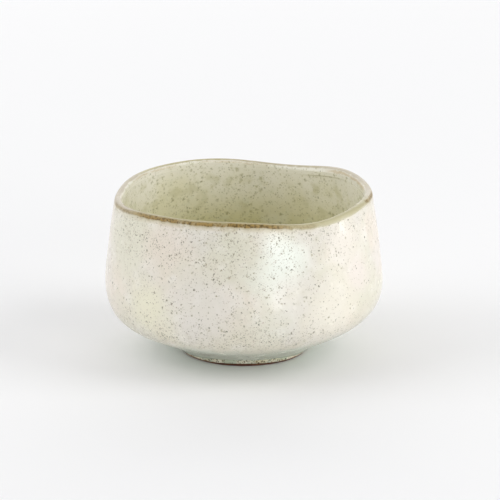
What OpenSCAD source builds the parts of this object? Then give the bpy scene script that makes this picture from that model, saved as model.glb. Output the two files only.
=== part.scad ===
// Matcha bowl: a hand-formed stoneware tea bowl with a low foot and its coats of glaze.
// The wall is drawn once as a section of radius and height, then carried round the bowl,
// where the rim rises and falls and goes a little out of round.

/* [Body] */
// Radius at the belly, over the glaze
belly_r = 61; // [56:0.5:66]
// Height of the belly, where the bowl is widest
belly_z = 32.4; // [30:0.2:35]
// Slope of the wall where it leaves the foot, in degrees
low_slope = 32; // [26:1:36]
// How far the wall keeps that slope
low_pull = 17.2; // [13:0.2:20]
// How far the belly's upright stretch reaches down
belly_drop = 18.7; // [16:0.1:21]
// How much fuller the lower wall is on the -X side than on the +X side
belly_fullness = 2.3; // [0:0.1:3]
// How far the belly's upright stretch reaches up
belly_lift = 6; // [3:0.5:9]
// Thickness of the wall at the belly, glaze included
wall_t = 4.8; // [4:0.1:6]
// Thickness of the floor at its middle, glaze included
floor_t = 5.4; // [4.6:0.1:7]

/* [Lip] */
// Radius of the lip's centre line
lip_r = 54.6; // [52:0.2:57]
// Height of the lip's centre line, before the rim's waves
lip_z = 69.5; // [66:0.5:74]
// Half thickness of the rounded lip
lip_round = 1.65; // [1.4:0.05:2]
// Lean of the outer wall just under the lip, in degrees
lip_lean = 11.8; // [6:0.2:16]
// How far the outer wall keeps that lean
lip_pull = 7.9; // [5:0.1:10]
// Extra half thickness where the lip was folded inwards
fold_round = 0.5; // [0:0.05:0.7]
// Direction of that fold, in degrees from +X
fold_turn = 40; // [0:1:359]
// Half width of that fold, in degrees
fold_width = 28; // [15:1:45]

/* [Rim waves: number round the bowl, size in mm, direction of a crest in degrees] */
// Shift of the whole rim against the foot
shift_wave = [1, 1.4, 98]; // [0:0.1:360]
// Three soft corners of the rim's outline
corner_wave = [3, 0.55, -32]; // [-360:0.05:360]
// Finger marks, the broad ones
finger_wave = [5, 0.45, -16]; // [-360:0.05:360]
// Finger marks, the narrow ones
pinch_wave = [6, 0.25, 22]; // [-360:0.05:360]
// Tilt of the rim
tilt_wave = [1, 0.45, -8]; // [-360:0.05:360]
// Saddle of the rim
saddle_wave = [2, 0.35, 2]; // [-360:0.05:360]
// The rim's three hills
hill_wave = [3, 1.2, 10]; // [-360:0.05:360]
// Small dips, the broad ones
dip_wave = [5, 0.35, -29]; // [-360:0.05:360]
// Small dips, the narrow ones
nick_wave = [6, 0.47, -23]; // [-360:0.05:360]

/* [Foot] */
// Outer radius of the foot where it stands
foot_r = 27.2; // [24:0.2:29]
// Outward slope of the foot's side, as extra radius at its top
foot_flare = 0.8; // [0:0.1:1.5]
// Width of the foot ring at its top
foot_w = 6; // [4.5:0.5:8]
// Height of the foot ring, up to the underside of the floor
foot_h = 4.6; // [4.4:0.1:6]
// Bevel on both edges of the tread
tread_bevel = 0.4; // [0.2:0.1:0.6]

/* [Glaze] */
// Thickness of the glaze on the wall
glaze_t = 0.6; // [0.4:0.05:0.8]
// Thickness of the glaze where it thins over the lip
lip_glaze_t = 0.35; // [0.25:0.05:0.5]
// Depth below the lip over which the glaze thickens
glaze_thickening = 8; // [4:1:12]
// How far the brown rim band reaches down outside
band_out = 0.95; // [0.6:0.05:1.5]
// How far the brown rim band reaches down inside
band_in = 1.5; // [0.8:0.1:2.5]
// Height where the glaze roll ends on the foot
roll_z = 2.4; // [1.8:0.1:3]
// Thickness of the thin glaze on the foot's side
foot_glaze_t = 0.3; // [0.2:0.05:0.4]
// Height of the bare clay line round the tread
bare_z = 0.7; // [0.6:0.1:1.2]
// Thickness of the glaze in the well of the foot
well_glaze_t = 0.4; // [0.3:0.05:0.5]

/* [Hidden] */
// Directions in which the section is set out round the bowl
turns = 48;
directions = [for (i = [0:turns - 1]) i * 360 / turns];
// Steps along each stretch of the section
low_steps = 9;
high_steps = 8;
lip_steps = 8;
inner_high_steps = 7;
inner_low_steps = 9;
// Where the wall meets the glaze roll, over the glaze
start_r = foot_r + foot_flare + 5;
start_z = foot_h;
// The inside: its floor, the radius at the belly and the heights of its curve
inside_floor_z = foot_h + floor_t;
inside_r = belly_r - wall_t;
inside_belly_z = belly_z + 2;
inside_pull = 12;
inside_corner = 19;
inside_flat = 36;
// The shallow pool in the middle of the floor where the last of the tea gathers
pool_r = 17;
pool_edge = 7;
pool_depth = 0.7;
rim_top_z = lip_z + lip_round;
foot_top_r = foot_r + foot_flare;
well_r = foot_top_r - foot_w;
outline_waves = [shift_wave, corner_wave, finger_wave, pinch_wave];
height_waves = [tilt_wave, saddle_wave, hill_wave, dip_wave, nick_wave];

clay_colour = "#9c6f56";
pearl_colour = "#e6e1d2";
celadon_colour = "#b9b48e";
brown_colour = "#8a6438";
roll_colour = "#c9d2c1";
cream_colour = "#d9cfae";

function total(v, i = 0) = i < len(v) ? v[i] + total(v, i + 1) : 0;
function ease(x) = let (c = min(max(x, 0), 1)) c * c * (3 - 2 * c);
function wave(w, a) = w[1] * cos(w[0] * (a - w[2]));
function waves(ws, a) = total([for (w = ws) wave(w, a)]);
function curve(p, t) =
    pow(1 - t, 3) * p[0] + 3 * pow(1 - t, 2) * t * p[1] + 3 * (1 - t) * t * t * p[2] + pow(t, 3) * p[3];
function turn_gap(a, b) = abs((a - b + 540) % 360 - 180);

// Half thickness of the lip at one direction, with the fold
function lip_half(a) = lip_round + fold_round * ease(1 - turn_gap(a, fold_turn) / (2 * fold_width));
function lip_centre(a) = let (extra = lip_half(a) - lip_round) [lip_r - 0.8 * extra, lip_z - extra];
function on_lip(a, angle) = lip_centre(a) + lip_half(a) * [cos(angle), sin(angle)];

// The four curves of the section at one direction: lower and upper wall outside, then inside
function low_curve(a) = [
    [start_r, start_z],
    [start_r + low_pull * cos(low_slope), start_z + low_pull * sin(low_slope)],
    [belly_r, belly_z - belly_drop + belly_fullness * cos(a)],
    [belly_r, belly_z]
];
function high_curve(a) = let (top = on_lip(a, lip_lean)) [
    [belly_r, belly_z],
    [belly_r, belly_z + belly_lift],
    top + lip_pull * [sin(lip_lean), -cos(lip_lean)],
    top
];
function inner_high_curve(a) = let (top = on_lip(a, 180)) [
    top,
    top - [0, inside_pull * 0.6],
    [inside_r, inside_belly_z + inside_pull],
    [inside_r, inside_belly_z]
];
function inner_low_curve(a) = [
    [inside_r, inside_belly_z],
    [inside_r, inside_belly_z - inside_corner],
    [inside_flat, inside_floor_z],
    [0, inside_floor_z]
];
// Where on its curve the brown band ends, outside and inside
function band_out_t() = 1 - band_out / (3 * lip_pull * cos(lip_lean));
function band_in_t() = band_in / (3 * inside_pull * 0.6);

function pooled(p) = p - [0, pool_depth * (1 - ease((p[0] - pool_r + pool_edge) / pool_edge))];

// The three stretches of the finished surface, as radius and height
function outer_line(a) = concat(
    [for (i = [0:low_steps - 1]) curve(low_curve(a), i / low_steps)],
    [for (i = [0:high_steps]) curve(high_curve(a), band_out_t() * i / high_steps)]
);
function rim_line(a) = concat(
    [curve(high_curve(a), band_out_t())],
    [for (i = [0:lip_steps]) on_lip(a, lip_lean + (180 - lip_lean) * i / lip_steps)],
    [curve(inner_high_curve(a), band_in_t())]
);
function inner_line(a) = concat(
    [for (i = [0:inner_high_steps - 1])
        curve(inner_high_curve(a), band_in_t() + (1 - band_in_t()) * i / inner_high_steps)],
    [for (i = [0:inner_low_steps]) pooled(curve(inner_low_curve(a), i / inner_low_steps))]
);
function whole_line(a) = concat(
    outer_line(a),
    [for (i = [1:lip_steps + 1]) rim_line(a)[i]],
    inner_line(a)
);

// The clay under the glaze: each point moved in by the glaze's thickness
function coat(p) = lip_glaze_t + (glaze_t - lip_glaze_t) * ease((lip_z - p[1]) / glaze_thickening);
function inward(d) = [-d[1], d[0]] / norm(d);
function under(line) = let (last = len(line) - 1) [
    for (i = [0:last])
        i == 0 ? line[0] - [glaze_t / sin(low_slope), 0]
        : i == last ? line[last] - [0, glaze_t]
        : line[i] + coat(line[i]) * inward(line[i + 1] - line[i - 1])
];
outer_count = low_steps + high_steps + 1;
rim_count = lip_steps + 3;
function part_of(line, first, count) = [for (i = [first:first + count - 1]) line[i]];
function backwards(line) = [for (i = [len(line) - 1:-1:0]) line[i]];

// Hand forming: the rim's waves fade out down to the belly
function formed(p, a) =
    let (w = ease((p[1] - belly_z) / (rim_top_z - belly_z)))
    let (r = p[0] + w * waves(outline_waves, a))
    [r * cos(a), r * sin(a), p[1] + w * waves(height_waves, a)];

// A closed loop carried round the bowl
module carried_loop(loops) {
    n = len(loops[0]);
    polyhedron(
        points = [for (i = [0:turns - 1]) for (p = loops[i]) formed(p, directions[i])],
        faces = [
            for (i = [0:turns - 1]) for (j = [0:n - 1])
                let (i2 = (i + 1) % turns, j2 = (j + 1) % n)
                each [
                    [i * n + j, i * n + j2, i2 * n + j2],
                    [i * n + j, i2 * n + j2, i2 * n + j]
                ]
        ],
        convexity = 6
    );
}

// A line from one point on the axis to another, carried round the bowl
module carried_line(lines) {
    n = len(lines[0]) - 2;
    top = turns * n;
    polyhedron(
        points = concat(
            [for (i = [0:turns - 1]) for (j = [1:n]) formed(lines[i][j], directions[i])],
            [formed(lines[0][0], 0), formed(lines[0][n + 1], 0)]
        ),
        faces = concat(
            [
                for (i = [0:turns - 1]) for (j = [0:n - 2])
                    let (i2 = (i + 1) % turns)
                    each [
                        [i * n + j, i * n + j + 1, i2 * n + j + 1],
                        [i * n + j, i2 * n + j + 1, i2 * n + j]
                    ]
            ],
            [for (i = [0:turns - 1]) [top, i * n, ((i + 1) % turns) * n]],
            [for (i = [0:turns - 1]) [top + 1, ((i + 1) % turns) * n + n - 1, i * n + n - 1]]
        ),
        convexity = 6
    );
}

// Thrown wall and floor, under the glaze
module clay_body() {
    color(clay_colour)
    carried_line([for (a = directions) concat([[0, foot_h]], under(whole_line(a)))]);
}

// Turned foot with a flat bare tread
module foot_ring() {
    color(clay_colour)
    rotate_extrude($fn = 180)
    polygon([
        [well_r, foot_h],
        [well_r + foot_flare / 2, tread_bevel],
        [well_r + foot_flare / 2 + tread_bevel, 0],
        [foot_r - tread_bevel, 0],
        [foot_r, tread_bevel],
        [foot_top_r, foot_h]
    ]);
}

// Pearly glaze on the outside of the wall
module outer_glaze() {
    color(pearl_colour)
    carried_loop([for (a = directions)
        concat(outer_line(a), backwards(part_of(under(whole_line(a)), 0, outer_count)))]);
}

// Celadon glaze on the inside of the bowl
module inner_glaze() {
    color(celadon_colour)
    carried_line([for (a = directions)
        let (first = outer_count + rim_count - 2)
        let (line = inner_line(a))
        concat(backwards(part_of(under(whole_line(a)), first, len(line))), line)]);
}

// Glaze that thins and breaks to brown over the lip
module rim_glaze() {
    color(brown_colour)
    carried_loop([for (a = directions)
        concat(rim_line(a), backwards(part_of(under(whole_line(a)), outer_count - 1, rim_count)))]);
}

// Radius of the foot's side at one height
function side_r(z) = foot_r + foot_flare * (z - tread_bevel) / (foot_h - tread_bevel);

// Thick roll where the outer glaze gathered above the foot
module glaze_roll() {
    roll_curve = [
        [side_r(roll_z), roll_z],
        [side_r(roll_z) + 1, roll_z],
        [start_r, start_z] - 1.8 * [cos(low_slope), sin(low_slope)],
        [start_r, start_z]
    ];
    color(roll_colour)
    rotate_extrude($fn = 180)
    polygon(concat(
        [[foot_top_r, foot_h]],
        [for (i = [0:8]) curve(roll_curve, i / 8)]
    ));
}

// Thin speckled glaze on the foot's side
module foot_glaze() {
    color(cream_colour)
    rotate_extrude($fn = 180)
    polygon([
        [side_r(bare_z), bare_z],
        [side_r(bare_z) + foot_glaze_t, bare_z + foot_glaze_t],
        [side_r(roll_z) + foot_glaze_t, roll_z],
        [side_r(roll_z), roll_z]
    ]);
}

// Glaze under the floor, inside the foot ring
module well_glaze() {
    color(celadon_colour)
    translate([0, 0, foot_h - well_glaze_t])
    cylinder(h = well_glaze_t, r = well_r, $fn = 180);
}

clay_body();
foot_ring();
outer_glaze();
inner_glaze();
rim_glaze();
glaze_roll();
foot_glaze();
well_glaze();
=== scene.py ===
import math
import bpy
import numpy as np
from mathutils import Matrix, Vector


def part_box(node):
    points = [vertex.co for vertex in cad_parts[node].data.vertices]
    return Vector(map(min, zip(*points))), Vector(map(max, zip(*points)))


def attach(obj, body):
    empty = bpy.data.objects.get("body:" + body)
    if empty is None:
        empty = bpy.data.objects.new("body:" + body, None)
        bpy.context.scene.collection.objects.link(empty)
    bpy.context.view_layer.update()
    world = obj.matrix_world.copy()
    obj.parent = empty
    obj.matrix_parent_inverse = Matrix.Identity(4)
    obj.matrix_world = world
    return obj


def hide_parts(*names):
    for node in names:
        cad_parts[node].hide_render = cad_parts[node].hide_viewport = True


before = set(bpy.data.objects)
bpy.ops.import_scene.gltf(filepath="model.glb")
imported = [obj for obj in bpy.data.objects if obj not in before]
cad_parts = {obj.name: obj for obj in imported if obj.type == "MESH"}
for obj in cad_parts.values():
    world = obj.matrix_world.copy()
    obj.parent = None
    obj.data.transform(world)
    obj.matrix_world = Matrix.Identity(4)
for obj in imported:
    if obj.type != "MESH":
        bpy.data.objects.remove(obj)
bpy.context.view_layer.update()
mm = 0.001
smooth = {"interpolation_type": "SMOOTHSTEP"}  # for a Map Range node that eases in and out


# adds one node: settings by name, and for each socket a value, or the node or socket that feeds it
def addNode(tree, kind, inputs=None, **settings):
    node = tree.nodes.new(kind)
    for setting, value in settings.items():
        setattr(node, setting, value)
    for key, value in (inputs or {}).items():
        socket = node.inputs[key] if isinstance(key, int) else None
        if socket is None:
            socket = next(s for s in node.inputs if s.enabled and s.name == key)
        if isinstance(value, bpy.types.Node):
            value = next(s for s in value.outputs if s.enabled)
        if isinstance(value, bpy.types.NodeSocket):
            tree.links.new(value, socket)
        else:
            socket.default_value = value
    return node


def ease(x):
    c = min(max(x, 0.0), 1.0)
    return c * c * (3 - 2 * c)


def heading(degrees, size=1.0, height=0.0):
    turn = math.radians(degrees)
    return (size * math.cos(turn), size * math.sin(turn), height)


# The bowl is a section carried round the axis. A point of the section is its radius and height,
# how far it follows the fullness of the belly, and how far the fold of the rim pushes it out and up.
def point(r, z, full=0.0, foldOut=0.0, foldUp=0.0):
    return np.array([r, z, full, foldOut, foldUp])


def curve(p, t):
    return (1 - t) ** 3 * p[0] + 3 * (1 - t) ** 2 * t * p[1] + 3 * (1 - t) * t * t * p[2] + t**3 * p[3]


def sampled(p, first, last, steps):
    return [curve(p, first + (last - first) * i / steps) for i in range(steps + 1)]


def straight(a, b, steps):
    return [a + (b - a) * i / steps for i in range(steps + 1)]


# The outside of the wall. Lengths in millimetres and angles in degrees, here and below.
wall = {
    "bellyRadius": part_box("outer_glaze")[1].x / mm,
    "bellyHeight": 32.4,
    "startRadius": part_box("glaze_roll")[1].x / mm,
    "startHeight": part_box("glaze_roll")[1].z / mm,
    "lowSlope": 32.0,
    "lowPull": 17.2,
    "bellyDrop": 18.7,
    "bellyLift": 6.0,
    "bellyFullness": 2.3,
    "lowSteps": 44,
    "highSteps": 48,
}
lip = {
    "radius": 54.6,
    "height": 69.5,
    "round": 1.65,
    "lean": 11.8,
    "pull": 7.9,
    "foldRound": 0.5,
    "foldInwards": 0.8,
    "foldTurn": 40.0,
    "foldWidth": 28.0,
    "lobeSwell": 0.75,
    "lobeTurn": 45.0,
    "lobeWidth": 11.0,
    "lobeFrom": 1.6,
    "lobeTo": 5.2,
    "lobeSwelling": 0.5,
    "lobeEnding": 0.45,
    "bandOutside": 0.95,
    "bandInside": 1.5,
    "steps": 20,
}
# The rim's waves: what each moves, how many go round the bowl, its size, and the direction of a crest
rimWaves = {
    "Shift": {"moves": "radius", "count": 1, "size": 1.4, "turn": 98.0},
    "Corner": {"moves": "radius", "count": 3, "size": 0.55, "turn": -32.0},
    "Finger": {"moves": "radius", "count": 5, "size": 0.45, "turn": -16.0},
    "Pinch": {"moves": "radius", "count": 6, "size": 0.25, "turn": 22.0},
    "Tilt": {"moves": "height", "count": 1, "size": 0.45, "turn": -8.0},
    "Saddle": {"moves": "height", "count": 2, "size": 0.35, "turn": 2.0},
    "Hill": {"moves": "height", "count": 3, "size": 1.2, "turn": 10.0},
    "Dip": {"moves": "height", "count": 5, "size": 0.35, "turn": -29.0},
    "Nick": {"moves": "height", "count": 6, "size": 0.47, "turn": -23.0},
}
foot = {
    "height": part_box("foot_ring")[1].z / mm,
    "topRadius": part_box("foot_ring")[1].x / mm,
    "flare": 0.4,
    "width": 6.0,
    "bevel": 0.4,
    "edgeSteps": 5,
    "sideSteps": 6,
    "topSteps": 4,
}
inside = {
    "wallThickness": 4.8,
    "floorThickness": 5.4,
    "bellyHeight": wall["bellyHeight"] + 2,
    "pull": 12.0,
    "lipPull": 7.2,
    "corner": 19.0,
    "flatRadius": 36.0,
    "poolRadius": 17.0,
    "poolEdge": 7.0,
    "poolDepth": 0.7,
    "highSteps": 36,
    "lowSteps": 56,
}
slope = math.radians(wall["lowSlope"])
lean = math.radians(lip["lean"])


def onLip(angle):
    c, s = math.cos(angle), math.sin(angle)
    r, z = lip["radius"] + lip["round"] * c, lip["height"] + lip["round"] * s
    return point(r, z, 0, c - lip["foldInwards"], s - 1)


def pooled(p):
    edge = (p[0] - inside["poolRadius"] + inside["poolEdge"]) / inside["poolEdge"]
    return p - point(0, inside["poolDepth"] * (1 - ease(edge)))


start = point(wall["startRadius"], wall["startHeight"])
belly = point(wall["bellyRadius"], wall["bellyHeight"])
lowCurve = [
    start,
    start + wall["lowPull"] * point(math.cos(slope), math.sin(slope)),
    belly + point(0, -wall["bellyDrop"], 1),
    belly,
]
highCurve = [
    belly,
    belly + point(0, wall["bellyLift"]),
    onLip(lean) + lip["pull"] * point(math.sin(lean), -math.cos(lean)),
    onLip(lean),
]
insideBelly = point(wall["bellyRadius"] - inside["wallThickness"], inside["bellyHeight"])
floorHeight = foot["height"] + inside["floorThickness"]
innerHighCurve = [
    onLip(math.pi),
    onLip(math.pi) - point(0, inside["lipPull"]),
    insideBelly + point(0, inside["pull"]),
    insideBelly,
]
innerLowCurve = [
    insideBelly,
    insideBelly - point(0, inside["corner"]),
    point(inside["flatRadius"], floorHeight),
    point(0, floorHeight),
]
# Where the brown lip takes over from the glaze outside and inside. A curve sets off at three times its pull.
bandOut = 1 - lip["bandOutside"] / (3 * lip["pull"] * math.cos(lean))
bandIn = lip["bandInside"] / (3 * inside["lipPull"])
outerLine = sampled(lowCurve, 0, 1, wall["lowSteps"])[:-1] + sampled(highCurve, 0, bandOut, wall["highSteps"])
lipArc = [onLip(lean + (math.pi - lean) * i / lip["steps"]) for i in range(lip["steps"] + 1)]
rimLine = [outerLine[-1]] + lipArc + [curve(innerHighCurve, bandIn)]
innerLine = sampled(innerHighCurve, bandIn, 1, inside["highSteps"])[:-1]
innerLine += [pooled(p) for p in sampled(innerLowCurve, 0, 1, inside["lowSteps"])]
wholeLine = outerLine + rimLine[1:-1] + innerLine
rimFirst = len(outerLine) - 1
innerFirst = rimFirst + len(rimLine) - 1

steps = [np.linalg.norm((b - a)[:2]) for a, b in zip(wholeLine, wholeLine[1:])]
travelled = np.concatenate([[0], np.cumsum(steps)])
crest = max(range(len(wholeLine)), key=lambda i: wholeLine[i][1])
fromLip = travelled[crest] - travelled  # above zero outside, below zero inside

coats = {"thickness": 0.6, "lipThickness": 0.35, "thickening": 8.0, "hiddenEvery": 4, "clayEvery": 2}


# the clay under the glaze: each point goes in by the thickness of the coat
def under(line):
    moved = [line[0] - point(coats["thickness"] / math.sin(slope), 0)]
    for before, p, after in zip(line, line[1:], line[2:]):
        along = (after - before)[:2]
        along /= np.linalg.norm(along)
        thickening = ease((lip["height"] - p[1]) / coats["thickening"])
        coat = coats["lipThickness"] + (coats["thickness"] - coats["lipThickness"]) * thickening
        moved.append(p + coat * point(-along[1], along[0]))
    return moved + [line[-1] - point(0, coats["thickness"])]


clayLine = under(wholeLine)


# a coat of glaze: its shown side, and back along fewer points of the clay that it covers
def coatOf(first, last):
    hidden = list(range(first, last, coats["hiddenEvery"])) + [last]
    line = wholeLine[first : last + 1] + [clayLine[i] for i in hidden[::-1]]
    distances = list(fromLip[first : last + 1]) + [fromLip[i] for i in hidden[::-1]]
    return line + [line[0]], distances + [distances[0]]


# Hands and fire: unevenness of the surface, always inwards, and the wandering edge of thick glaze
making = {
    "unevenness": 0.4,
    "unevenSpacing": 21.0,
    "evenRadius": 8,
    "unevenRadius": 30,
    "pressDepth": 0.9,
    "runs": 1.25,
    "runWaves": 3.0,
    "runTurn": -88.0,
    "runWander": 0.8,
    "wanderScale": 3.6,
    "runBulge": 0.45,
    "turns": 360,
    "sharpAngle": 38.0,
    "mergeDistance": 0.002,
}
# Where fingers pressed the wall in: direction, height, reach and share of the full depth
presses = [
    (-75, 45, 18, 1.0),
    (-43, 49, 15, 1.0),
    (-112, 36, 19, 0.6),
    (-150, 47, 17, 0.8),
    (8, 44, 18, 0.7),
    (52, 40, 17, 0.8),
    (98, 47, 19, 0.8),
    (146, 40, 17, 0.9),
]
sectionAttributes = {
    "fullPull": "FLOAT",
    "foldPull": "FLOAT_VECTOR",
    "runPull": "FLOAT_VECTOR",
    "lobePull": "FLOAT",
    "fromLip": "FLOAT",
}


def buildCarriedRound():
    tree = bpy.data.node_groups.new("carriedRound", "GeometryNodeTree")
    sockets = tree.interface
    sockets.new_socket(name="Geometry", in_out="OUTPUT", socket_type="NodeSocketGeometry")
    kinds = {"Section": "Geometry", "Turns": "Int", "Material": "Material"}
    for name in [*kinds, *carriedValues]:
        kind = "NodeSocket" + kinds.get(name, "Float")
        sockets.new_socket(name=name, in_out="INPUT", socket_type=kind)
    given = addNode(tree, "NodeGroupInput").outputs
    maths, remap, join = "ShaderNodeMath", "ShaderNodeMapRange", "ShaderNodeCombineXYZ"
    whole, vectors = "FunctionNodeIntegerMath", "ShaderNodeVectorMath"

    # one column of the grid for each direction, one row for each point of the section
    count = addNode(tree, "GeometryNodeAttributeDomainSize", {"Geometry": given["Section"]})
    columns = addNode(tree, maths, {0: given["Turns"], 1: 1.0}, operation="ADD")
    grid = addNode(tree, "GeometryNodeMeshGrid", {"Vertices X": columns, "Vertices Y": count.outputs[0]})
    index = addNode(tree, "GeometryNodeInputIndex")
    column = addNode(tree, whole, {0: index, 1: count.outputs[0]}, operation="DIVIDE")
    row = addNode(tree, whole, {0: index, 1: count.outputs[0]}, operation="MODULO")
    read = {}
    for name, dataType in sectionAttributes.items():
        stored = addNode(tree, "GeometryNodeInputNamedAttribute", {"Name": name}, data_type=dataType)
        wanted = {"Geometry": given["Section"], "Value": stored, "Index": row}
        read[name] = addNode(tree, "GeometryNodeSampleIndex", wanted, data_type=dataType)
    wanted = {"Geometry": given["Section"], "Value": addNode(tree, "GeometryNodeInputPosition"), "Index": row}
    place = addNode(tree, "GeometryNodeSampleIndex", wanted, data_type="FLOAT_VECTOR")
    section = addNode(tree, "ShaderNodeSeparateXYZ", {0: place}).outputs
    foldPull = addNode(tree, "ShaderNodeSeparateXYZ", {0: read["foldPull"]}).outputs
    runPull = addNode(tree, "ShaderNodeSeparateXYZ", {0: read["runPull"]}).outputs

    # the direction round the bowl
    turnStep = addNode(tree, maths, {0: math.tau, 1: given["Turns"]}, operation="DIVIDE")
    turn = addNode(tree, maths, {0: column, 1: turnStep}, operation="MULTIPLY")
    cosTurn = addNode(tree, maths, {0: turn}, operation="COSINE")
    sinTurn = addNode(tree, maths, {0: turn}, operation="SINE")
    outward = addNode(tree, join, {0: cosTurn, 1: sinTurn})

    # the fold rolls the lip thicker on one side, and a lobe of it hangs down inside: each is at half its
    # size one width away, and gone at two
    swells = {}
    for name in ("Fold", "Lobe"):
        middle = addNode(tree, maths, {0: given[name + " turn"]}, operation="RADIANS")
        gap = addNode(tree, maths, {0: turn, 1: middle}, operation="SUBTRACT")
        gap = addNode(tree, maths, {0: gap}, operation="COSINE")
        gap = addNode(tree, maths, {0: gap}, operation="ARCCOSINE")
        reach = addNode(tree, maths, {0: given[name + " width"], 1: 2.0}, operation="MULTIPLY")
        reach = addNode(tree, maths, {0: reach}, operation="RADIANS")
        swelling = {"Value": gap, "From Max": reach, "To Min": given[name + " size"], "To Max": 0.0}
        swells[name] = addNode(tree, remap, swelling, **smooth)
    fold = swells["Fold"]
    radius = addNode(tree, maths, {0: foldPull["X"], 1: fold, 2: section["X"]}, operation="MULTIPLY_ADD")
    hung = addNode(tree, maths, {0: read["lobePull"], 1: swells["Lobe"]}, operation="MULTIPLY")
    radius = addNode(tree, maths, {0: radius, 1: hung}, operation="SUBTRACT")
    height = addNode(tree, maths, {0: foldPull["Z"], 1: fold, 2: section["Z"]}, operation="MULTIPLY_ADD")

    # the belly hangs lower on one side
    full = addNode(tree, maths, {0: given["Fullness"], 1: cosTurn}, operation="MULTIPLY")
    height = addNode(tree, maths, {0: full, 1: read["fullPull"], 2: height}, operation="MULTIPLY_ADD")

    # the rim's waves fade out down to the belly
    fading = {"Value": height, "From Min": given["Belly height"], "From Max": given["Rim height"]}
    fade = addNode(tree, remap, fading, **smooth)
    moved = {"radius": radius, "height": height}
    for name, rimWave in rimWaves.items():
        crestTurn = addNode(tree, maths, {0: given[name + " turn"]}, operation="RADIANS")
        away = addNode(tree, maths, {0: turn, 1: crestTurn}, operation="SUBTRACT")
        away = addNode(tree, maths, {0: away, 1: float(rimWave["count"])}, operation="MULTIPLY")
        wave = addNode(tree, maths, {0: away}, operation="COSINE")
        size = addNode(tree, maths, {0: given[name + " size"], 1: fade}, operation="MULTIPLY")
        moves = rimWave["moves"]
        moved[moves] = addNode(tree, maths, {0: wave, 1: size, 2: moved[moves]}, operation="MULTIPLY_ADD")

    # thick glaze sags and bulges: a few slow waves round the foot, and a finer wander
    runTurn = addNode(tree, maths, {0: given["Run turn"]}, operation="RADIANS")
    away = addNode(tree, maths, {0: turn, 1: runTurn}, operation="SUBTRACT")
    away = addNode(tree, maths, {0: away, 1: given["Run waves"]}, operation="MULTIPLY")
    slow = addNode(tree, maths, {0: away}, operation="COSINE")
    slow = addNode(tree, maths, {0: slow, 1: given["Runs"]}, operation="MULTIPLY")
    fine = {"Vector": outward, "Scale": making["wanderScale"], "Detail": 2.0}
    fine = addNode(tree, "ShaderNodeTexNoise", fine)
    fine = addNode(tree, maths, {0: fine, 1: 0.5}, operation="SUBTRACT")
    run = addNode(tree, maths, {0: fine, 1: given["Run wander"], 2: slow}, operation="MULTIPLY_ADD")
    swell = addNode(tree, maths, {0: fine, 1: given["Run bulge"]}, operation="MULTIPLY")
    height = addNode(tree, maths, {0: runPull["Z"], 1: run, 2: moved["height"]}, operation="MULTIPLY_ADD")
    radius = addNode(tree, maths, {0: runPull["X"], 1: swell, 2: moved["radius"]}, operation="MULTIPLY_ADD")

    # soft unevenness left by the hands, none on the axis
    flat = addNode(tree, vectors, {"Vector": outward, "Scale": radius}, operation="SCALE")
    up = addNode(tree, join, {2: height})
    even = addNode(tree, vectors, {0: flat, 1: up}, operation="ADD")
    often = addNode(tree, maths, {0: 1.0, 1: given["Uneven spacing"]}, operation="DIVIDE")
    uneven = addNode(tree, "ShaderNodeTexNoise", {"Vector": even, "Scale": often, "Detail": 1.0})
    clear = {"Value": radius, "From Min": making["evenRadius"] * mm,
             "From Max": making["unevenRadius"] * mm, "To Max": given["Unevenness"]}
    depth = addNode(tree, remap, clear, **smooth)
    dent = addNode(tree, maths, {0: uneven, 1: depth}, operation="MULTIPLY")
    for pressTurn, pressHeight, reach, share in presses:
        centre = heading(pressTurn, wall["bellyRadius"] * mm, pressHeight * mm)
        away = addNode(tree, vectors, {0: even, 1: centre}, operation="DISTANCE")
        pressed = {"Value": away.outputs["Value"], "From Min": reach * mm, "From Max": 0.0, "To Max": share}
        pressed = addNode(tree, remap, pressed, **smooth)
        dent = addNode(tree, maths, {0: pressed, 1: given["Press depth"], 2: dent}, operation="MULTIPLY_ADD")
    radius = addNode(tree, maths, {0: radius, 1: dent}, operation="SUBTRACT")
    flat = addNode(tree, vectors, {"Vector": outward, "Scale": radius}, operation="SCALE")
    formed = addNode(tree, vectors, {0: flat, 1: up}, operation="ADD")

    shape = addNode(tree, "GeometryNodeSetPosition", {"Geometry": grid, "Position": formed})
    stored = {"Geometry": shape, "Name": "fromLip", "Value": read["fromLip"]}
    shape = addNode(tree, "GeometryNodeStoreNamedAttribute", stored, data_type="FLOAT", domain="POINT")
    merged = {"Geometry": shape, "Distance": given["Merge distance"]}
    shape = addNode(tree, "GeometryNodeMergeByDistance", merged)
    bend = addNode(tree, "GeometryNodeInputMeshEdgeAngle").outputs["Unsigned Angle"]
    limit = addNode(tree, maths, {0: given["Sharp angle"]}, operation="RADIANS")
    sharp = addNode(tree, maths, {0: bend, 1: limit}, operation="GREATER_THAN")
    stored = {"Geometry": shape, "Name": "sharp_edge", "Value": sharp}
    shape = addNode(tree, "GeometryNodeStoreNamedAttribute", stored, data_type="BOOLEAN", domain="EDGE")
    shape = addNode(tree, "GeometryNodeRealizeInstances", {"Geometry": shape})
    shape = addNode(tree, "GeometryNodeSetMaterial", {"Geometry": shape, "Material": given["Material"]})
    addNode(tree, "NodeGroupOutput", {"Geometry": shape})
    return tree


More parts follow.
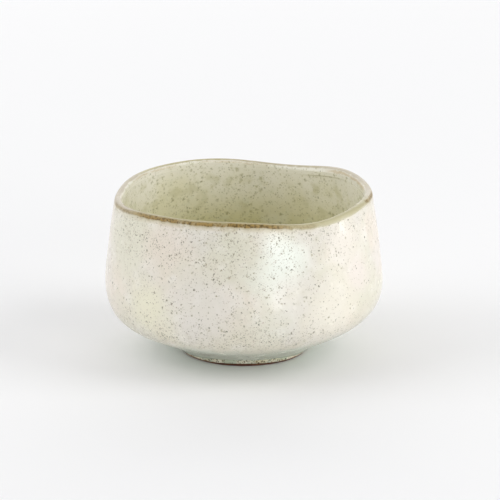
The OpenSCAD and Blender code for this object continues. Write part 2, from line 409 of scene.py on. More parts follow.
carriedValues = {
    "Belly height": wall["bellyHeight"] * mm,
    "Rim height": (lip["height"] + lip["round"]) * mm,
    "Fullness": wall["bellyFullness"] * mm,
    "Fold size": lip["foldRound"] * mm,
    "Fold turn": lip["foldTurn"],
    "Fold width": lip["foldWidth"],
    "Lobe size": lip["lobeSwell"] * mm,
    "Lobe turn": lip["lobeTurn"],
    "Lobe width": lip["lobeWidth"],
    "Unevenness": making["unevenness"] * mm,
    "Uneven spacing": making["unevenSpacing"] * mm,
    "Press depth": making["pressDepth"] * mm,
    "Runs": making["runs"] * mm,
    "Run waves": making["runWaves"],
    "Run turn": making["runTurn"],
    "Run wander": making["runWander"] * mm,
    "Run bulge": making["runBulge"] * mm,
    "Merge distance": making["mergeDistance"] * mm,
    "Sharp angle": making["sharpAngle"],
}
for waveName, rimWave in rimWaves.items():
    carriedValues[waveName + " size"] = rimWave["size"] * mm
    carriedValues[waveName + " turn"] = rimWave["turn"]
carriedRound = buildCarriedRound()


# how much of the lobe shows at a distance in from the crest: swelling slowly, ending more suddenly
def lobeAt(distance):
    down = (distance - lip["lobeFrom"]) / (lip["lobeTo"] - lip["lobeFrom"])
    return ease(down / lip["lobeSwelling"]) * ease((1 - down) / lip["lobeEnding"])


def carryRound(name, line, material, node, distances=None, runs=None):
    section = bpy.data.meshes.new(name + "Section")
    edges = [(i, i + 1) for i in range(len(line) - 1)]
    section.from_pydata([(p[0] * mm, 0, p[1] * mm) for p in line], edges, [])
    for attributeName, dataType in sectionAttributes.items():
        section.attributes.new(attributeName, dataType, "POINT")
    # a piece away from the lip counts as a metre below it
    for i, p in enumerate(line):
        section.attributes["fullPull"].data[i].value = p[2]
        section.attributes["foldPull"].data[i].vector = (p[3], 0, p[4])
        section.attributes["runPull"].data[i].vector = runs[i] if runs else (0, 0, 0)
        section.attributes["lobePull"].data[i].value = lobeAt(-distances[i]) if distances else 0.0
        section.attributes["fromLip"].data[i].value = distances[i] * mm if distances else 1.0
    piece = bpy.data.objects.new(name, section)
    bpy.context.scene.collection.objects.link(piece)
    modifier = piece.modifiers.new("carriedRound", "NODES")
    modifier.node_group = carriedRound
    values = dict(carriedValues, Material=material, Turns=making["turns"])
    for item in carriedRound.interface.items_tree:
        if item.in_out == "INPUT" and item.name in values:
            modifier[item.identifier] = values[item.name]
    graph = bpy.context.evaluated_depsgraph_get()
    evaluated = piece.evaluated_get(graph)
    shape = bpy.data.meshes.new_from_object(evaluated, preserve_all_data_layers=True, depsgraph=graph)
    piece.modifiers.clear()
    piece.data = shape
    shape.name = name
    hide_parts(node)
    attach(piece, "root")
    print(name, len(shape.vertices), "vertices")


def linear(hexColour):
    def channel(v):
        return v / 12.92 if v <= 0.04045 else ((v + 0.055) / 1.055) ** 2.4

    return tuple(channel(int(hexColour[i : i + 2], 16) / 255) for i in (1, 3, 5)) + (1.0,)


def newMaterial(name):
    material = bpy.data.materials.new(name)
    material.use_nodes = True
    tree = material.node_tree
    tree.nodes.clear()
    return material, tree, addNode(tree, "ShaderNodeTexCoord").outputs["Object"]


# Noise in soft clouds. Each veil is a tint, its spacing, the noise where it starts to show and where it
# shows fully, and its strength.
def veiled(tree, place, colour, finish):
    for i, (tint, spacing, least, most, strength) in enumerate(finish["veils"]):
        seen = {"Vector": place, "W": finish["seed"] + i, "Scale": 1 / (spacing * mm), "Detail": 2.0}
        noise = addNode(tree, "ShaderNodeTexNoise", seen, noise_dimensions="4D")
        cover = {"Value": noise, "From Min": least, "From Max": most, "To Max": strength}
        cover = addNode(tree, "ShaderNodeMapRange", cover, **smooth)
        tinted = {"Factor": cover, "A": colour, "B": linear(tint)}
        colour = addNode(tree, "ShaderNodeMix", tinted, data_type="RGBA")
    return colour


# Larger pools of tint, each at a direction and a height on the wall, with a stirred edge; some stand partly
# for a painted highlight
poolEdge = {"spacing": 14, "stray": 9, "middle": 0.25}


def pooledTints(tree, place, colour, pools):
    stir = {"Vector": place, "Scale": 1 / (poolEdge["spacing"] * mm), "Detail": 2.0}
    stir = addNode(tree, "ShaderNodeTexNoise", stir)
    stray = poolEdge["stray"] * mm
    spread = {0: stir.outputs["Color"], 1: (stray, stray, stray), 2: place}
    stirred = addNode(tree, "ShaderNodeVectorMath", spread, operation="MULTIPLY_ADD")
    for turn, height, reach, strength, tint in pools:
        centre = heading(turn, wall["bellyRadius"] * mm, height * mm)
        centre = [along + stray / 2 for along in centre]  # the stir moves the pools by about as much
        away = addNode(tree, "ShaderNodeVectorMath", {0: stirred, 1: centre}, operation="DISTANCE")
        cover = {"Value": away.outputs["Value"], "From Min": reach * mm,
                 "From Max": poolEdge["middle"] * reach * mm, "To Max": strength}
        cover = addNode(tree, "ShaderNodeMapRange", cover, **smooth)
        tinted = {"Factor": cover, "A": colour, "B": linear(tint)}
        colour = addNode(tree, "ShaderNodeMix", tinted, data_type="RGBA")
    return colour


# Iron specks: uneven dots scattered one to a cell, in loose clusters, a share of the cells left empty
clusters = {"from": 0.36, "to": 0.62, "few": 0.45, "many": 1.45, "manySmall": 2.0}


# gives the specks, the faint stain round them, and a chance for each speck's tone
def specks(tree, place, speck, share):
    maths, remap, noise = "ShaderNodeMath", "ShaderNodeMapRange", "ShaderNodeTexNoise"
    cell = speck["cell"] * mm
    stir = addNode(tree, noise, {"Vector": place, "Scale": 1 / (speck["grain"] * mm), "Detail": 2.0})
    stray = speck["stray"] * mm
    spread = {0: stir.outputs["Color"], 1: (stray, stray, stray), 2: place}
    stirred = addNode(tree, "ShaderNodeVectorMath", spread, operation="MULTIPLY_ADD")
    cells = addNode(tree, "ShaderNodeTexVoronoi", {"Vector": stirred, "Scale": 1 / cell})
    chance = addNode(tree, "ShaderNodeSeparateColor", {"Color": cells.outputs["Color"]}).outputs
    least, most = speck["radius"]
    skew = addNode(tree, maths, {0: chance["Red"], 1: clusters["manySmall"]}, operation="POWER")
    size = addNode(tree, remap, {"Value": skew, "To Min": least * mm / cell, "To Max": most * mm / cell})
    middle = addNode(tree, maths, {0: size, 1: 1 - speck["softness"]}, operation="MULTIPLY")
    edge = {"Value": cells.outputs["Distance"], "From Min": size, "From Max": middle}
    dot = addNode(tree, remap, edge, **smooth)
    wide = addNode(tree, maths, {0: size, 1: speck["stain"]}, operation="MULTIPLY")
    edge = {"Value": cells.outputs["Distance"], "From Min": wide, "From Max": middle}
    stain = addNode(tree, remap, edge, **smooth)
    near = addNode(tree, noise, {"Vector": place, "Scale": 1 / (speck["cluster"] * mm), "Detail": 1.0})
    near = {"Value": near, "From Min": clusters["from"], "From Max": clusters["to"],
            "To Min": clusters["few"], "To Max": clusters["many"]}
    near = addNode(tree, remap, near, **smooth)
    share = addNode(tree, maths, {0: near, 1: share}, operation="MULTIPLY")
    kept = addNode(tree, maths, {0: chance["Green"], 1: share}, operation="LESS_THAN")
    dot = addNode(tree, maths, {0: dot, 1: kept}, operation="MULTIPLY")
    stain = addNode(tree, maths, {0: stain, 1: kept}, operation="MULTIPLY")
    return dot, stain, chance["Blue"]


def speckled(tree, place, colour, speck, share):
    dot, stain, chance = specks(tree, place, speck, share)
    tones = {"Factor": chance, "A": linear(speck["darkest"]), "B": linear(speck["palest"])}
    tone = addNode(tree, "ShaderNodeMix", tones, data_type="RGBA")
    stain = addNode(tree, "ShaderNodeMath", {0: stain, 1: speck["stainStrength"]}, operation="MULTIPLY")
    stained = {"Factor": stain, "A": colour, "B": linear(speck["stainColour"])}
    colour = addNode(tree, "ShaderNodeMix", stained, data_type="RGBA")
    strength = addNode(tree, "ShaderNodeMath", {0: dot, 1: speck["strength"]}, operation="MULTIPLY")
    dotted = {"Factor": strength, "A": colour, "B": tone}
    return addNode(tree, "ShaderNodeMix", dotted, data_type="RGBA"), dot


# Pearly white stoneware glaze, dipped: a milky satin coat with soft clouds of green, rose and lavender,
# through which iron in the clay bleeds as fine dark specks, thickest below and by the lip; the pale mint pool
# in front is partly painted highlight
pearl = {
    "colour": "#e2ddcc",
    "seed": 1.0,
    "veils": [
        ("#dddcc9", 30, 0.46, 0.66, 0.6),
        ("#ecdfd3", 26, 0.50, 0.70, 0.6),
        ("#e4e0db", 22, 0.50, 0.70, 0.5),
        ("#f2efe6", 8, 0.50, 0.75, 0.6),
        ("#d6d2bf", 4, 0.50, 0.75, 0.45),
    ],
    "pools": [
        (-150, 56, 20, 0.9, "#e0ddcb"),
        (-125, 60, 18, 0.6, "#eaddd0"),
        (-108, 36, 22, 0.6, "#e4dfd8"),
        (-132, 30, 18, 0.8, "#e8e5cc"),
        # the three pale mint pools in front are partly the glaze's own mint tint and partly a painted
        # highlight
        (-73, 56, 16, 1.0, "#f2f6ec"),
        (-81, 48, 13, 0.4, "#e9f0e5"),
        (-78, 28, 14, 0.2, "#ebf1e6"),
        (-50, 30, 20, 0.6, "#efeada"),
        (-42, 58, 16, 0.6, "#f2ebe3"),
        (20, 52, 22, 0.6, "#eaddd0"),
        (-34, 44, 13, 0.6, "#f1e6e0"),
        (65, 34, 24, 0.8, "#dfe0cd"),
        (112, 50, 20, 0.8, "#eef4e9"),
        (150, 28, 22, 0.8, "#e7e2dd"),
    ],
    "roughness": (0.13, 0.3),
    "ripple": 0.09,
    "rippleSpacing": 6.0,
}
pearlSpecks = {
    "large": {"cell": 1.05, "radius": (0.16, 0.58), "softness": 0.6,
              "grain": 0.8, "stray": 1.7, "cluster": 4.5, "share": 0.42, "lowShare": 1.2, "highShare": 0.55,
              "strength": 0.9, "darkest": "#454234", "palest": "#b2aa8e",
              "stain": 1.8, "stainStrength": 0.3, "stainColour": "#c6c3ae"},
    "fine": {"cell": 0.66, "radius": (0.13, 0.36), "softness": 0.6,
             "grain": 0.5, "stray": 1.0, "cluster": 3.0, "share": 0.55, "lowShare": 1.5, "highShare": 0.7,
             "strength": 0.85, "darkest": "#5f5845", "palest": "#b9a797",
             "stain": 1.6, "stainStrength": 0.2, "stainColour": "#cdc9b6"},
}
pearlLow = {"colour": "#d6e2d4", "from": 17.0, "to": 9.5, "strength": 0.65, "wander": 9.0, "spacing": 13.0}
pearlCover = {
    "lowFrom": 32.0,
    "lowTo": 15.0,
    "highFrom": 50.0,
    "highTo": 66.0,
    "patchSpacing": 17.0,
    "patch": (0.35, 0.6),
    "patchShare": 0.6,
    "thickTurn": -8.0,
    "thick": (20.0, 52.0),
    "thickShare": 0.35,
}


def pearlColour(tree, place):
    maths, remap = "ShaderNodeMath", "ShaderNodeMapRange"
    colour = veiled(tree, place, linear(pearl["colour"]), pearl)
    colour = pooledTints(tree, place, colour, pearl["pools"])
    height = addNode(tree, "ShaderNodeSeparateXYZ", {0: place}).outputs["Z"]
    wander = {"Vector": place, "Scale": 1 / (pearlLow["spacing"] * mm), "Detail": 2.0}
    wander = addNode(tree, "ShaderNodeTexNoise", wander)
    wander = addNode(tree, maths, {0: wander, 1: 0.5}, operation="SUBTRACT")
    edge = {0: wander, 1: pearlLow["wander"] * mm, 2: height}
    edge = addNode(tree, maths, edge, operation="MULTIPLY_ADD")
    cool = {"Value": edge, "From Min": pearlLow["from"] * mm, "From Max": pearlLow["to"] * mm,
            "To Max": pearlLow["strength"]}
    cool = addNode(tree, remap, cool, **smooth)
    cooled = {"Factor": cool, "A": colour, "B": linear(pearlLow["colour"])}
    colour = addNode(tree, "ShaderNodeMix", cooled, data_type="RGBA")
    low = {"Value": height, "From Min": pearlCover["lowFrom"] * mm, "From Max": pearlCover["lowTo"] * mm}
    low = addNode(tree, remap, low, **smooth)
    high = {"Value": height, "From Min": pearlCover["highFrom"] * mm, "From Max": pearlCover["highTo"] * mm}
    high = addNode(tree, remap, high, **smooth)
    patchy = {"Vector": place, "Scale": 1 / (pearlCover["patchSpacing"] * mm), "Detail": 1.0}
    patchy = addNode(tree, "ShaderNodeTexNoise", patchy)
    least, most = pearlCover["patch"]
    patchy = {"Value": patchy, "From Min": least, "From Max": most, "To Min": pearlCover["patchShare"]}
    patchy = addNode(tree, remap, patchy, **smooth)
    facing = {0: place, 1: heading(pearlCover["thickTurn"])}
    facing = addNode(tree, "ShaderNodeVectorMath", facing, operation="DOT_PRODUCT").outputs["Value"]
    least, most = pearlCover["thick"]
    thick = {"Value": facing, "From Min": least * mm, "From Max": most * mm,
             "To Min": 1.0, "To Max": pearlCover["thickShare"]}
    thick = addNode(tree, remap, thick, **smooth)
    patchy = addNode(tree, maths, {0: patchy, 1: thick}, operation="MULTIPLY")
    dots = None
    for speck in pearlSpecks.values():
        share = {0: low, 1: speck["lowShare"], 2: speck["share"]}
        share = addNode(tree, maths, share, operation="MULTIPLY_ADD")
        share = addNode(tree, maths, {0: high, 1: speck["highShare"], 2: share}, operation="MULTIPLY_ADD")
        share = addNode(tree, maths, {0: share, 1: patchy}, operation="MULTIPLY")
        colour, dot = speckled(tree, place, colour, speck, share)
        dots = dot if dots is None else addNode(tree, maths, {0: dots, 1: dot}, operation="MAXIMUM")
    return colour, dots


# Pale olive celadon glaze, poured: glassy, paler just under the lip and darker and more olive towards the
# bottom of the bowl, with brown-green bleeding spots
celadon = {
    "colour": "#edeadd",
    "seed": 11.0,
    "veils": [
        ("#dcd8b8", 24, 0.44, 0.66, 0.7),
        ("#e9e6d8", 16, 0.50, 0.72, 0.45),
        ("#c6c29c", 6, 0.50, 0.74, 0.6),
        ("#d8d8c0", 3, 0.50, 0.75, 0.5),
    ],
    "deepBelow": (64, 34),
    "thin": "#ece9dd",
    "thinFrom": -12,
    "thinTo": -4,
    "thinStrength": 0.7,
    "deep": "#d0cb9a",
    "roughness": (0.1, 0.26),
    "ripple": 0.07,
    "rippleSpacing": 7.0,
}
celadonSpecks = {
    "broad": {"cell": 2.2, "radius": (0.4, 1.2), "softness": 1.0, "grain": 1.0, "stray": 2.2, "cluster": 6.0,
              "share": 0.85, "strength": 0.6, "darkest": "#6d6a42", "palest": "#b0ab7c",
              "stain": 1.5, "stainStrength": 0.25, "stainColour": "#b8b48a"},
    "small": {"cell": 1.0, "radius": (0.2, 0.6), "softness": 0.9, "grain": 0.7, "stray": 1.4, "cluster": 4.0,
              "share": 0.85, "strength": 0.65, "darkest": "#66613d", "palest": "#b1ac80",
              "stain": 1.6, "stainStrength": 0.2, "stainColour": "#bbb78f"},
}


def celadonColour(tree, place):
    remap = "ShaderNodeMapRange"
    height = addNode(tree, "ShaderNodeSeparateXYZ", {0: place}).outputs["Z"]
    # darker and more olive lower down in the bowl, by height
    shallow, deep = celadon["deepBelow"]
    depth = {"Value": height, "From Min": shallow * mm, "From Max": deep * mm}
    depth = addNode(tree, remap, depth, **smooth)
    tones = {"Factor": depth, "A": linear(celadon["colour"]), "B": linear(celadon["deep"])}
    colour = addNode(tree, "ShaderNodeMix", tones, data_type="RGBA")
    colour = veiled(tree, place, colour, celadon)
    # paler just under the lip, by distance from the crest
    distance = addNode(tree, "ShaderNodeAttribute", attribute_name="fromLip").outputs["Fac"]
    thin = {"Value": distance, "From Min": celadon["thinFrom"] * mm, "From Max": celadon["thinTo"] * mm,
            "To Max": celadon["thinStrength"]}
    thin = addNode(tree, remap, thin, **smooth)
    tones = {"Factor": thin, "A": colour, "B": linear(celadon["thin"])}
    colour = addNode(tree, "ShaderNodeMix", tones, data_type="RGBA")
    for speck in celadonSpecks.values():
        colour, dot = speckled(tree, place, colour, speck, speck["share"])
    return colour, dot


# Over the lip the glaze runs thin and breaks to olive, tan and iron brown, in lines along the two edges.
# Each run is a direction, a reach either side of it, and a strength. Each layer is a tint, its distance
# from the crest, its half width, its soft edge, its strength and its runs. The last is the iron-brown line.
lipGlaze = {
    "runs": {
        "grey": [(180, 40, 1.0), (14, 50, 0.8), (75, 25, 0.6)],
        "pale": [(-42, 34, 1.0), (125, 30, 0.7)],
        "outer": [(-108, 47, 1.0), (-150, 22, 0.35), (-66, 12, 0.3), (-12, 11, 0.7), (60, 30, 0.6),
                  (118, 26, 0.9), (150, 14, 0.3)],
        "inner": [(22, 27, 0.8), (-160, 24, 0.3), (95, 20, 0.5), (140, 20, 0.6)],
    },
    "layers": [
        ("#ac9f6e", 0.5, 1.3, 0.8, 0.85, None),
        ("#9b9065", 0.1, 0.5, 0.7, 0.65, None),
        ("#c0b6a6", 0.7, 1.6, 0.9, 0.75, "grey"),
        ("#bcb691", 1.0, 1.5, 0.8, 0.8, "pale"),
        ("#8f8a58", 2.4, 0.5, 0.6, 0.6, "outer"),
        ("#c9bda0", 2.6, 0.8, 1.6, 0.55, "outer"),
        ("#b59c66", -2.0, 0.2, 0.5, 0.75, "inner"),
        ("#9a7d3c", 1.7, 0.5, 0.6, 0.95, "outer"),
    ],
    "runMiddle": 0.55,
    "wobble": 1.3,
    "wobbleSpacing": 3.6,
    "patchSpacing": 5.5,
    "patch": (0.34, 0.5),
    "patchShare": 0.4,
    "grainColour": "#54420f",
    "grainSpacing": 1.1,
    "grain": (0.4, 0.62),
    "pearlAbove": 2.2,
    "celadonBelow": 0.2,
    "roughness": (0.3, 0.46),
    "ripple": 0.05,
    "rippleSpacing": 2.5,
}


def alongLip(tree, place, runs):
    flat = addNode(tree, "ShaderNodeVectorMath", {0: place, 1: (1, 1, 0)}, operation="MULTIPLY")
    flat = addNode(tree, "ShaderNodeVectorMath", {0: flat}, operation="NORMALIZE")
    cover = 0.0
    for turn, reach, strength in runs:
        facing = addNode(tree, "ShaderNodeVectorMath", {0: flat, 1: heading(turn)}, operation="DOT_PRODUCT")
        run = {"Value": facing.outputs["Value"], "From Min": math.cos(math.radians(reach)),
               "From Max": math.cos(math.radians(lipGlaze["runMiddle"] * reach)), "To Max": strength}
        run = addNode(tree, "ShaderNodeMapRange", run, **smooth)
        cover = addNode(tree, "ShaderNodeMath", {0: cover, 1: run}, operation="MAXIMUM")
    return cover


def overLip(tree, place, colour):
    maths, remap, noise = "ShaderNodeMath", "ShaderNodeMapRange", "ShaderNodeTexNoise"
    distance = addNode(tree, "ShaderNodeAttribute", attribute_name="fromLip").outputs["Fac"]
    wobble = {"Vector": place, "Scale": 1 / (lipGlaze["wobbleSpacing"] * mm), "Detail": 2.0}
    wobble = {0: addNode(tree, noise, wobble), 1: lipGlaze["wobble"], 2: -lipGlaze["wobble"] / 2}
    wobble = addNode(tree, maths, wobble, operation="MULTIPLY_ADD")
    distance = addNode(tree, maths, {0: distance, 1: 1 / mm, 2: wobble}, operation="MULTIPLY_ADD")
    patchy = {"Vector": place, "Scale": 1 / (lipGlaze["patchSpacing"] * mm), "Detail": 3.0, "Roughness": 0.7}
    least, most = lipGlaze["patch"]
    patchy = {"Value": addNode(tree, noise, patchy), "From Min": least, "From Max": most,
              "To Min": lipGlaze["patchShare"]}
    patchy = addNode(tree, remap, patchy, **smooth)
    grain = {"Vector": place, "Scale": 1 / (lipGlaze["grainSpacing"] * mm), "Detail": 2.0}
    least, most = lipGlaze["grain"]
    grain = {"Value": addNode(tree, noise, grain), "From Min": least, "From Max": most}
    grain = addNode(tree, remap, grain)
    for tint, middle, half, soft, strength, runs in lipGlaze["layers"]:
        off = addNode(tree, maths, {0: distance, 1: middle}, operation="SUBTRACT")
        off = addNode(tree, maths, {0: off}, operation="ABSOLUTE")
        cover = addNode(tree, remap, {"Value": off, "From Min": half + soft, "From Max": half}, **smooth)
        cover = addNode(tree, maths, {0: cover, 1: strength}, operation="MULTIPLY")
        if runs:
            along = alongLip(tree, place, lipGlaze["runs"][runs])
            cover = addNode(tree, maths, {0: cover, 1: along}, operation="MULTIPLY")
            cover = addNode(tree, maths, {0: cover, 1: patchy}, operation="MULTIPLY")
        tinted = {"Factor": cover, "A": colour, "B": linear(tint)}
        colour = addNode(tree, "ShaderNodeMix", tinted, data_type="RGBA")
    deep = addNode(tree, maths, {0: cover, 1: grain}, operation="MULTIPLY")
    tinted = {"Factor": deep, "A": colour, "B": linear(lipGlaze["grainColour"])}
    return addNode(tree, "ShaderNodeMix", tinted, data_type="RGBA"), cover


# What every coat of glaze shares: gloss that varies a little, a skin that is never quite flat, and specks
# that are duller and lie a little sunk
glazeSurface = {"glossSpacing": 11, "gloss": (0.3, 0.7), "dull": 0.15, "sunk": 0.25, "IOR": 1.52}


def glazeSkin(tree, place, colour, skin, dots=0.0):
    maths = "ShaderNodeMath"
    gloss = {"Vector": place, "Scale": 1 / (glazeSurface["glossSpacing"] * mm), "Detail": 2.0}
    gloss = {"Value": addNode(tree, "ShaderNodeTexNoise", gloss)}
    gloss["From Min"], gloss["From Max"] = glazeSurface["gloss"]
    gloss["To Min"], gloss["To Max"] = skin["roughness"]
    gloss = addNode(tree, "ShaderNodeMapRange", gloss)
    gloss = addNode(tree, maths, {0: dots, 1: glazeSurface["dull"], 2: gloss}, operation="MULTIPLY_ADD")
    ripple = {"Vector": place, "Scale": 1 / (skin["rippleSpacing"] * mm), "Detail": 2.0}
    ripple = addNode(tree, "ShaderNodeTexNoise", ripple)
    ripple = addNode(tree, maths, {0: dots, 1: -glazeSurface["sunk"], 2: ripple}, operation="MULTIPLY_ADD")
    bump = {"Height": ripple, "Distance": skin["ripple"] * mm, "Strength": 1.0}
    bump = addNode(tree, "ShaderNodeBump", bump)
    glassy = {"Base Color": colour, "Roughness": gloss, "Normal": bump, "IOR": glazeSurface["IOR"]}
    shader = addNode(tree, "ShaderNodeBsdfPrincipled", glassy)
    addNode(tree, "ShaderNodeOutputMaterial", {"Surface": shader})


def makePearlGlaze():
    material, tree, place = newMaterial("pearlGlazeDipped")
    colour, dots = pearlColour(tree, place)
    glazeSkin(tree, place, overLip(tree, place, colour)[0], pearl, dots)
    return material


def makeCeladonGlaze():
    material, tree, place = newMaterial("celadonGlazePoured")
    colour, dots = celadonColour(tree, place)
    glazeSkin(tree, place, overLip(tree, place, colour)[0], celadon, dots)
    return material


# Iron-brown lip: both glazes meet on it, run thin and break to olive and brown over the dark clay
def makeLipGlaze():
    material, tree, place = newMaterial("ironBrownGlazeThinned")
    outside = pearlColour(tree, place)[0]
    within = celadonColour(tree, place)[0]
    distance = addNode(tree, "ShaderNodeAttribute", attribute_name="fromLip").outputs["Fac"]
    over = {"Value": distance, "From Min": lipGlaze["pearlAbove"] * mm,
            "From Max": lipGlaze["celadonBelow"] * mm}
    over = addNode(tree, "ShaderNodeMapRange", over, **smooth)
    tones = {"Factor": over, "A": outside, "B": within}
    colour = addNode(tree, "ShaderNodeMix", tones, data_type="RGBA")
    colour, broken = overLip(tree, place, colour)
    glazeSkin(tree, place, colour, lipGlaze, broken)
    return material


# Celadon gathered in a roll above the foot: thick, glassy, pale grey-green, and almost without specks
gathered = {
    "colour": "#d8e3d2",
    "seed": 21.0,
    "veils": [
        ("#c3d3be", 8, 0.40, 0.62, 0.8),
        ("#e8eee0", 4, 0.50, 0.70, 0.6),
        ("#d7deba", 12, 0.52, 0.72, 0.5),
    ],
    "speck": {"cell": 1.6, "radius": (0.12, 0.5), "softness": 0.9, "grain": 0.7, "stray": 1.2, "cluster": 5.0,
              "share": 0.4, "strength": 0.5, "darkest": "#6c6b52", "palest": "#a9ab93",
              "stain": 2.0, "stainStrength": 0.2, "stainColour": "#afb79f"},
    "roughness": (0.08, 0.2),
    "ripple": 0.06,
    "rippleSpacing": 5.0,
}


def makeGatheredGlaze():
    material, tree, place = newMaterial("celadonGlazeGathered")
    colour = veiled(tree, place, linear(gathered["colour"]), gathered)
    colour = speckled(tree, place, colour, gathered["speck"], gathered["speck"]["share"])[0]
    glazeSkin(tree, place, colour, gathered)
    return material


# Thin cream glaze on the side of the foot: dry satin, with iron specks grown large, brown at its edge
cream = {
    "colour": "#f6f1dd",
    "seed": 31.0,
    "veils": [
        ("#d9d0ab", 6, 0.45, 0.68, 0.6),
        ("#c9d3bd", 4, 0.48, 0.66, 0.8),
    ],
    "speck": {"cell": 0.85, "radius": (0.2, 0.6), "softness": 0.4, "grain": 0.6, "stray": 1.0, "cluster": 4.0,
              "share": 1.3, "strength": 0.95, "darkest": "#3f311c", "palest": "#8f7f58",
              "stain": 1.7, "stainStrength": 0.4, "stainColour": "#b9ad85"},
    "edge": "#8a6238",
    "edgeFrom": 1.6,
    "edgeTo": 1.0,
    "edgeStrength": 0.85,
    "edgeWander": 0.8,
    "edgeSpacing": 3,
    "roughness": (0.22, 0.4),
    "ripple": 0.08,
    "rippleSpacing": 3.0,
}


def makeCreamGlaze():
    material, tree, place = newMaterial("creamGlazeThin")
    colour = veiled(tree, place, linear(cream["colour"]), cream)
    colour, dots = speckled(tree, place, colour, cream["speck"], cream["speck"]["share"])
    height = addNode(tree, "ShaderNodeSeparateXYZ", {0: place}).outputs["Z"]
    uneven = {"Vector": place, "Scale": 1 / (cream["edgeSpacing"] * mm), "Detail": 2.0}
    uneven = {0: addNode(tree, "ShaderNodeTexNoise", uneven), 1: cream["edgeWander"] * mm, 2: height}
    height = addNode(tree, "ShaderNodeMath", uneven, operation="MULTIPLY_ADD")
    low = {"Value": height, "From Min": cream["edgeFrom"] * mm, "From Max": cream["edgeTo"] * mm,
           "To Max": cream["edgeStrength"]}
    low = addNode(tree, "ShaderNodeMapRange", low, **smooth)
    browned = {"Factor": low, "A": colour, "B": linear(cream["edge"])}
    colour = addNode(tree, "ShaderNodeMix", browned, data_type="RGBA")
    glazeSkin(tree, place, colour, cream, dots)
    return material


# Iron-bearing stoneware, turned on the wheel and left bare: matt red-brown, sandy grit, turning lines
stoneware = {
    "colour": "#5d3a2a",
    "seed": 41.0,
    "veils": [
        ("#432820", 12, 0.45, 0.65, 0.8),
        ("#7d5138", 4, 0.50, 0.72, 0.6),
        ("#94715a", 0.8, 0.58, 0.72, 0.6),
        ("#2c1c17", 0.9, 0.60, 0.74, 0.7),
    ],
    "turning": 0.9,
    "turningDepth": 0.05,
    "grit": 0.45,
    "gritDepth": 0.06,
    "roughness": 0.82,
}


def makeStoneware():
    material, tree, place = newMaterial("stonewareBareTurned")
    maths = "ShaderNodeMath"
    colour = veiled(tree, place, linear(stoneware["colour"]), stoneware)
    flat = addNode(tree, "ShaderNodeVectorMath", {0: place, 1: (1, 1, 0)}, operation="MULTIPLY")
    radius = addNode(tree, "ShaderNodeVectorMath", {0: flat}, operation="LENGTH").outputs["Value"]
    height = addNode(tree, "ShaderNodeSeparateXYZ", {0: place}).outputs["Z"]
    out = addNode(tree, maths, {0: radius, 1: height}, operation="ADD")
    lines = addNode(tree, maths, {0: out, 1: math.tau / (stoneware["turning"] * mm)}, operation="MULTIPLY")
    lines = addNode(tree, maths, {0: lines}, operation="SINE")
    lines = addNode(tree, maths, {0: lines, 1: stoneware["turningDepth"] / 2}, operation="MULTIPLY")
    grit = addNode(tree, "ShaderNodeTexNoise", {"Vector": place, "Scale": 1 / (stoneware["grit"] * mm)})
    grit = addNode(tree, maths, {0: grit, 1: stoneware["gritDepth"], 2: lines}, operation="MULTIPLY_ADD")
    bump = addNode(tree, "ShaderNodeBump", {"Height": grit, "Distance": mm, "Strength": 1.0})
    matt = {"Base Color": colour, "Roughness": stoneware["roughness"], "Normal": bump}
    addNode(tree, "ShaderNodeOutputMaterial", {"Surface": addNode(tree, "ShaderNodeBsdfPrincipled", matt)})
    return material


pearlGlaze = makePearlGlaze()
celadonGlaze = makeCeladonGlaze()
lipBrownGlaze = makeLipGlaze()
gatheredGlaze = makeGatheredGlaze()
creamGlaze = makeCreamGlaze()
bareStoneware = makeStoneware()
print("glazes and clay made")

# The body, and its coats of glaze outside, over the lip and inside
claySection = [point(0, foot["height"])] + clayLine[: -1 : coats["clayEvery"]] + clayLine[-1:]
carryRound("clayBody", claySection, bareStoneware, "clay_body")
line, distances = coatOf(0, rimFirst)
carryRound("outerGlaze", line, pearlGlaze, "outer_glaze", distances)
line, distances = coatOf(rimFirst, innerFirst)
carryRound("rimGlaze", line, lipBrownGlaze, "rim_glaze", distances)
line, distances = coatOf(innerFirst, len(wholeLine) - 1)
carryRound("innerGlaze", line, celadonGlaze, "inner_glaze", distances)


# The foot ring, turned with a rounded edge inside and outside its tread
def sideRadius(z):
    return foot["topRadius"] - foot["flare"] * (foot["height"] - z) / (foot["height"] - foot["bevel"])


wellRadius = foot["topRadius"] - foot["width"]
wellLow = wellRadius + foot["flare"] / 2
treadOuter = sideRadius(foot["bevel"]) - foot["bevel"]
treadInner = wellLow + foot["bevel"]


def edgeRound(r, first):
    centre = point(r, foot["bevel"])
    angles = [math.radians(first + 90 * i / foot["edgeSteps"]) for i in range(foot["edgeSteps"] + 1)]
    return [centre + foot["bevel"] * point(math.cos(a), math.sin(a)) for a in angles]


footLine = edgeRound(treadOuter, -90)
footLine += straight(footLine[-1], point(foot["topRadius"], foot["height"]), foot["sideSteps"])[1:]
footLine += straight(footLine[-1], point(wellRadius, foot["height"]), foot["topSteps"])[1:]
footLine += straight(footLine[-1], point(wellLow, foot["bevel"]), foot["sideSteps"])[1:]
footLine += edgeRound(treadInner, 180)[1:]
footLine += straight(footLine[-1], footLine[0], foot["sideSteps"])[1:]
carryRound("footRing", footLine, bareStoneware, "foot_ring")

# The roll of thick glaze above the foot: its lower edge wanders, and it bulges where it sagged
roll = {
    "low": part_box("glaze_roll")[0].z / mm,
    "lowPull": 1.0,
    "highPull": 1.8,
    "cling": 0.25,
    "steps": 26,
    "underSteps": 8,
    "insideSteps": 6,
}
rollStart = point(sideRadius(roll["low"]), roll["low"])
rollTip = start - roll["highPull"] * point(math.cos(slope), math.sin(slope))
rollShown = sampled([rollStart, rollStart + point(roll["lowPull"], 0), rollTip, start], 0, 1, roll["steps"])
corner = point(foot["topRadius"], foot["height"])
behind = point(roll["cling"], 0)
rollHidden = straight(start, corner, roll["underSteps"])[1:]
rollHidden += straight(corner - behind, rollStart - behind, roll["insideSteps"])
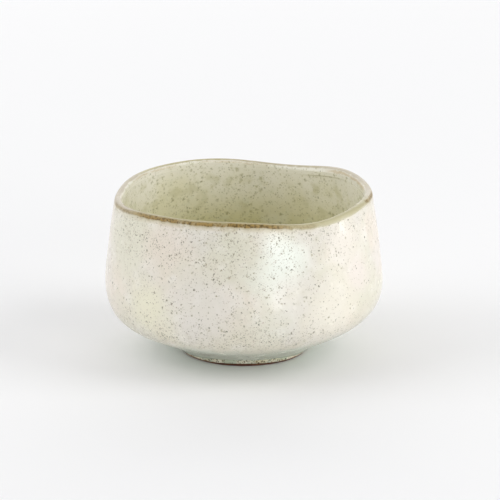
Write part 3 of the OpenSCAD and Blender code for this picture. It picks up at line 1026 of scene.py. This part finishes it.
# how far each point of the section bulges outwards and sags with the glaze
up = [i / roll["steps"] for i in range(roll["steps"] + 1)]
rollRuns = [(math.sin(math.pi * share), 0, 1 - ease(share)) for share in up]
rollRuns += [(0, 0, 0)] * roll["underSteps"]
rollRuns += [(0, 0, i / roll["insideSteps"]) for i in range(roll["insideSteps"] + 1)] + [rollRuns[0]]
carryRound("glazeRoll", rollShown + rollHidden + [rollStart], gatheredGlaze, "glaze_roll",
           runs=rollRuns)

# The thin glaze below the roll, down to the bare line that wax kept clear of the tread
footCoat = {"bareLine": 0.7, "thickness": 0.3, "lap": 0.8, "edgeRun": 0.35, "steps": 6}
coatLow = point(sideRadius(footCoat["bareLine"]), footCoat["bareLine"])
coatHigh = point(sideRadius(roll["low"] + footCoat["lap"]), roll["low"] + footCoat["lap"])
thick = point(footCoat["thickness"], 0)
coatShown = straight(coatLow + thick + point(0, footCoat["thickness"]), coatHigh + thick, footCoat["steps"])
coatLine = [coatLow - behind, coatLow] + coatShown + [coatHigh, coatLow - behind]
coatRuns = [(0, 0, footCoat["edgeRun"])] * 2
coatRuns += [(0, 0, footCoat["edgeRun"] + (1 - footCoat["edgeRun"]) * i / footCoat["steps"])
             for i in range(footCoat["steps"] + 1)]
coatRuns += [(0, 0, 1), (0, 0, footCoat["edgeRun"])]
carryRound("footGlaze", coatLine, creamGlaze, "foot_glaze", runs=coatRuns)

# The glaze in the hollow of the foot
well = {"thickness": 0.4, "steps": 12, "fromLip": -20.0}
wellTop = foot["height"]
wellBottom = wellTop - well["thickness"]
wellLine = straight(point(0, wellBottom), point(wellRadius, wellBottom), well["steps"])
wellLine += [point(wellRadius, wellTop), point(0, wellTop)]
wellDepths = [well["fromLip"]] * len(wellLine)  # coloured like the inside of the bowl well below the lip
carryRound("wellGlaze", wellLine, celadonGlaze, "well_glaze", wellDepths)
print("bowl built")

# Pale floor, soft white room, softboxes on every side
ground = {"colour": "#f1f1f1", "roughness": 0.9, "size": 6.0}
floorMaterial, floorTree = newMaterial("paleFloorMatt")[:2]
floorShader = {"Base Color": linear(ground["colour"]), "Roughness": ground["roughness"]}
floorShader = addNode(floorTree, "ShaderNodeBsdfPrincipled", floorShader)
addNode(floorTree, "ShaderNodeOutputMaterial", {"Surface": floorShader})
bpy.ops.mesh.primitive_plane_add(size=ground["size"])
floor = bpy.context.object
floor.name = "floor"
floor.data.materials.append(floorMaterial)

scene = bpy.context.scene
scene.view_settings.view_transform = "Standard"
room = {"colour": "#fdfdff", "strength": 0.505}
world = bpy.data.worlds.new("softWhiteRoom")
scene.world = world
world.use_nodes = True
world.node_tree.nodes["Background"].inputs["Color"].default_value = linear(room["colour"])
world.node_tree.nodes["Background"].inputs["Strength"].default_value = room["strength"]

lights = {
    "rightSoftbox": {"at": (1.4, -0.3, 0.9), "size": (1.0, 1.4), "power": 11.3},
    "rightStrip": {"at": (1.4, -0.14, 0.26), "size": (0.22, 0.5), "power": 1.2},
    "leftSoftbox": {"at": (-1.4, -0.3, 0.8), "size": (1.2, 1.2), "power": 7.0},
    "leftOverhead": {"at": (-1.6, 0.2, 1.5), "size": (2.0, 2.0), "power": 9.0},
    "backSoftbox": {"at": (0.0, 1.8, 0.85), "size": (2.6, 1.5), "power": 16.0},
    "frontSoftbox": {"at": (0.85, -1.42, 0.45), "size": (0.4, 0.8), "power": 4.6},
}
bowlMiddle = Vector((0, 0, 0.04))
for lightName, light in lights.items():
    data = bpy.data.lights.new(lightName, "AREA")
    data.shape = "RECTANGLE"
    data.size, data.size_y = light["size"]
    data.energy = light["power"]
    lamp = bpy.data.objects.new(lightName, data)
    lamp.location = light["at"]
    lamp.rotation_euler = (bowlMiddle - Vector(light["at"])).to_track_quat("-Z", "Y").to_euler()
    scene.collection.objects.link(lamp)

view = {"distance": 1.2, "height": 0.403, "aside": 0.0026, "pitch": 16.64, "lens": 206.0, "sensor": 36.0}
cameraData = bpy.data.cameras.new("camera")
cameraData.lens = view["lens"]
cameraData.sensor_width = view["sensor"]
camera = bpy.data.objects.new("camera", cameraData)
camera.location = (view["aside"], -view["distance"], view["height"])
camera.rotation_euler = (math.radians(90 - view["pitch"]), 0, 0)
scene.collection.objects.link(camera)
scene.camera = camera
print("floor, lights and camera set")
